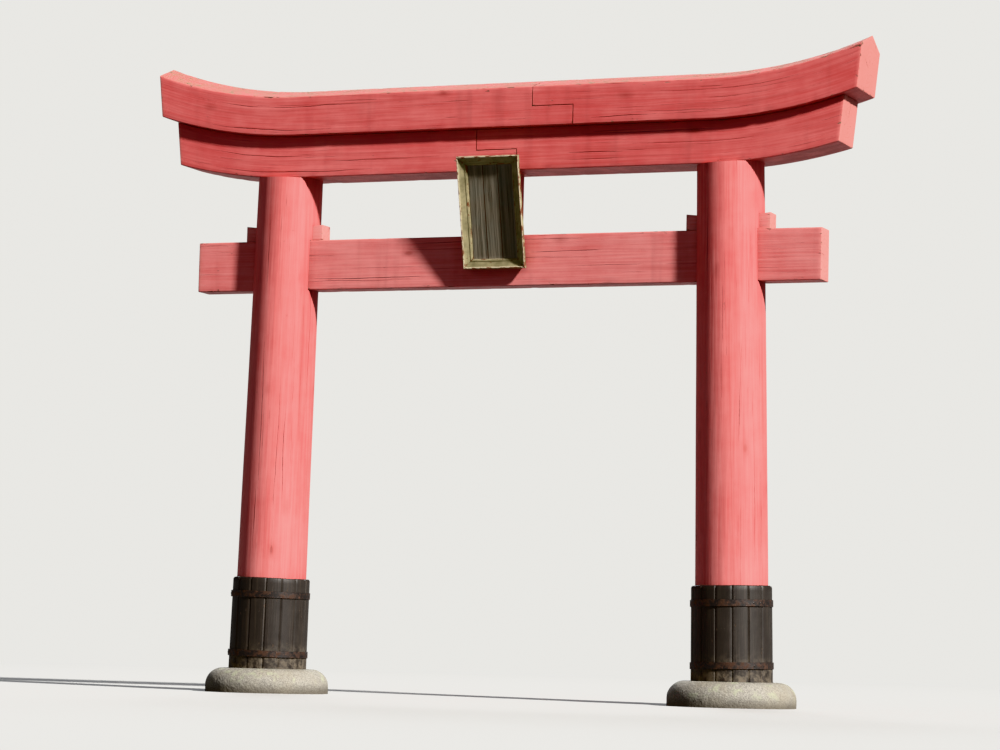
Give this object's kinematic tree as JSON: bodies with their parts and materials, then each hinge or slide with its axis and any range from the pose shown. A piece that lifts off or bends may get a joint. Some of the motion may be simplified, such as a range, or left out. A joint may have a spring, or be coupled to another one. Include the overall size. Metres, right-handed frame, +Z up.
{
  "type": "torii gate",
  "caption": "Vermilion timber torii with leaning round pillars, a wedged tie beam, stacked lintels with upswept ends and a bare framed tablet.",
  "frame": {"origin": "on the ground, midway between the pillars and midway from front to back", "axes": "+X along the lintels to the right as seen from the front, -Y out of the front, +Z up"},
  "size_m": [5.25, 0.87, 4.4987],
  "materials": {
    "vermilion_paint": "satin",
    "black_paint": "satin",
    "footing_stone": "matte",
    "iron": "matte",
    "tablet_timber": "matte",
    "tablet_frame": "matte"
  },
  "bodies": {
    "root": {"left_footing_stone": "footing_stone", "right_footing_stone": "footing_stone", "left_pillar": "vermilion_paint", "right_pillar": "vermilion_paint", "left_base_sleeve": "black_paint", "right_base_sleeve": "black_paint", "left_lower_hoop": "iron", "left_upper_hoop": "iron", "right_lower_hoop": "iron", "right_upper_hoop": "iron", "tie_beam": "vermilion_paint", "left_outer_wedge": "vermilion_paint", "left_inner_wedge": "vermilion_paint", "right_inner_wedge": "vermilion_paint", "right_outer_wedge": "vermilion_paint", "centre_strut": "vermilion_paint", "left_lower_lintel": "vermilion_paint", "right_lower_lintel": "vermilion_paint", "left_upper_lintel": "vermilion_paint", "right_upper_lintel": "vermilion_paint", "tablet_board": "tablet_timber", "tablet_frame_top": "tablet_frame", "tablet_frame_bottom": "tablet_frame", "tablet_frame_left": "tablet_frame", "tablet_frame_right": "tablet_frame", "left_tablet_stay": "iron", "right_tablet_stay": "iron"}
  },
  "joints": []
}
